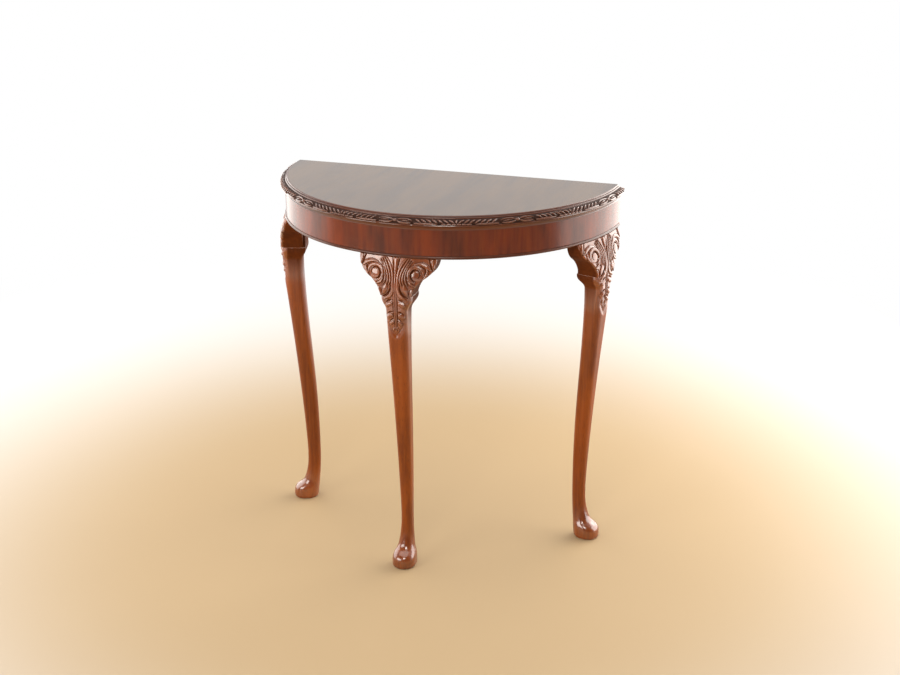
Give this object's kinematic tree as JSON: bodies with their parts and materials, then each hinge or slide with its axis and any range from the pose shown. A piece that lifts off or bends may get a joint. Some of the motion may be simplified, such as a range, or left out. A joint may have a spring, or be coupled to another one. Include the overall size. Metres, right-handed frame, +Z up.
{
  "type": "demilune table",
  "caption": "Half-round mahogany hall table with carved moulded edge, veneered curved apron and cabriole legs with carved knees, scrolled ears and pad feet; flat back for a wall.",
  "frame": {"origin": "on the floor under the middle of the table's bounding box", "axes": "+Z up, +X to the right seen from the front, -Y towards the curved front, +Y towards the wall"},
  "size_m": [0.7098, 0.3536, 0.73],
  "materials": {
    "mahogany_field": "polished",
    "mahogany_edge": "polished",
    "mahogany_frieze": "polished",
    "mahogany_leg": "polished",
    "frame_timber": "planed",
    "screw_steel": "plain"
  },
  "bodies": {
    "root": {"top_veneer_left": "mahogany_field", "top_veneer_right": "mahogany_field", "edge_moulding": "mahogany_edge", "apron_bead": "mahogany_edge", "apron_veneer": "mahogany_frieze", "left_leg": "mahogany_leg", "front_leg": "mahogany_leg", "right_leg": "mahogany_leg", "left_leg_front_ear": "mahogany_leg", "left_leg_rear_ear": "mahogany_leg", "front_leg_left_ear": "mahogany_leg", "front_leg_right_ear": "mahogany_leg", "right_leg_front_ear": "mahogany_leg", "right_leg_rear_ear": "mahogany_leg", "top_panel": "frame_timber", "apron_core": "frame_timber", "back_rail": "frame_timber", "centre_bearer": "frame_timber", "leg_glue_blocks": "frame_timber", "top_fixing_blocks": "frame_timber", "leg_screws": "screw_steel", "top_fixing_screws": "screw_steel"}
  },
  "joints": []
}
